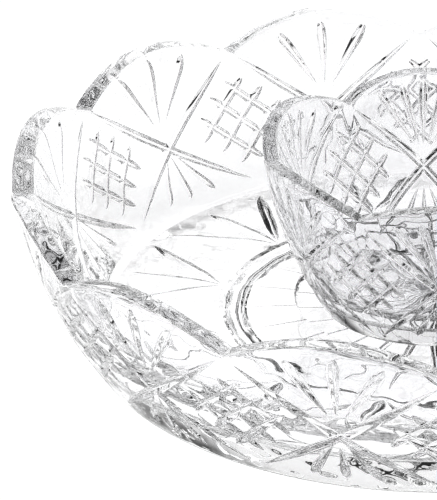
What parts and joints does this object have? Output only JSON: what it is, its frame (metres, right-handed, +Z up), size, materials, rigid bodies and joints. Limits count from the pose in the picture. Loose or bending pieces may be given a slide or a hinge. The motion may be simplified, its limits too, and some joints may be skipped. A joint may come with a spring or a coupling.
{
  "type": "punch bowl",
  "caption": "Cut-crystal serving bowl: a wide shallow bowl with an arched, lobed rim and a smaller lobed bowl standing loose in a shallow well at its centre.",
  "frame": {"origin": "centre of the plane that the foot rests on", "axes": "+Z up along the bowls' common axis; the outer rim's lobes meet on +X, on +Y and every 30 degrees from there"},
  "size_m": [0.3308, 0.3308, 0.0884],
  "materials": {
    "outer_crystal": "clear polished lead crystal with mitre cuts",
    "inner_crystal": "clear polished lead crystal with mitre cuts"
  },
  "bodies": {
    "outer_bowl": {"outer_bowl": "outer_crystal"},
    "inner_bowl": {"inner_bowl": "inner_crystal"}
  },
  "joints": [
    {"name": "inner_bowl_lift", "type": "slide", "parent": "outer_bowl", "child": "inner_bowl", "axis": [0, 0, 1], "range_m": [0, 0.12]}
  ]
}
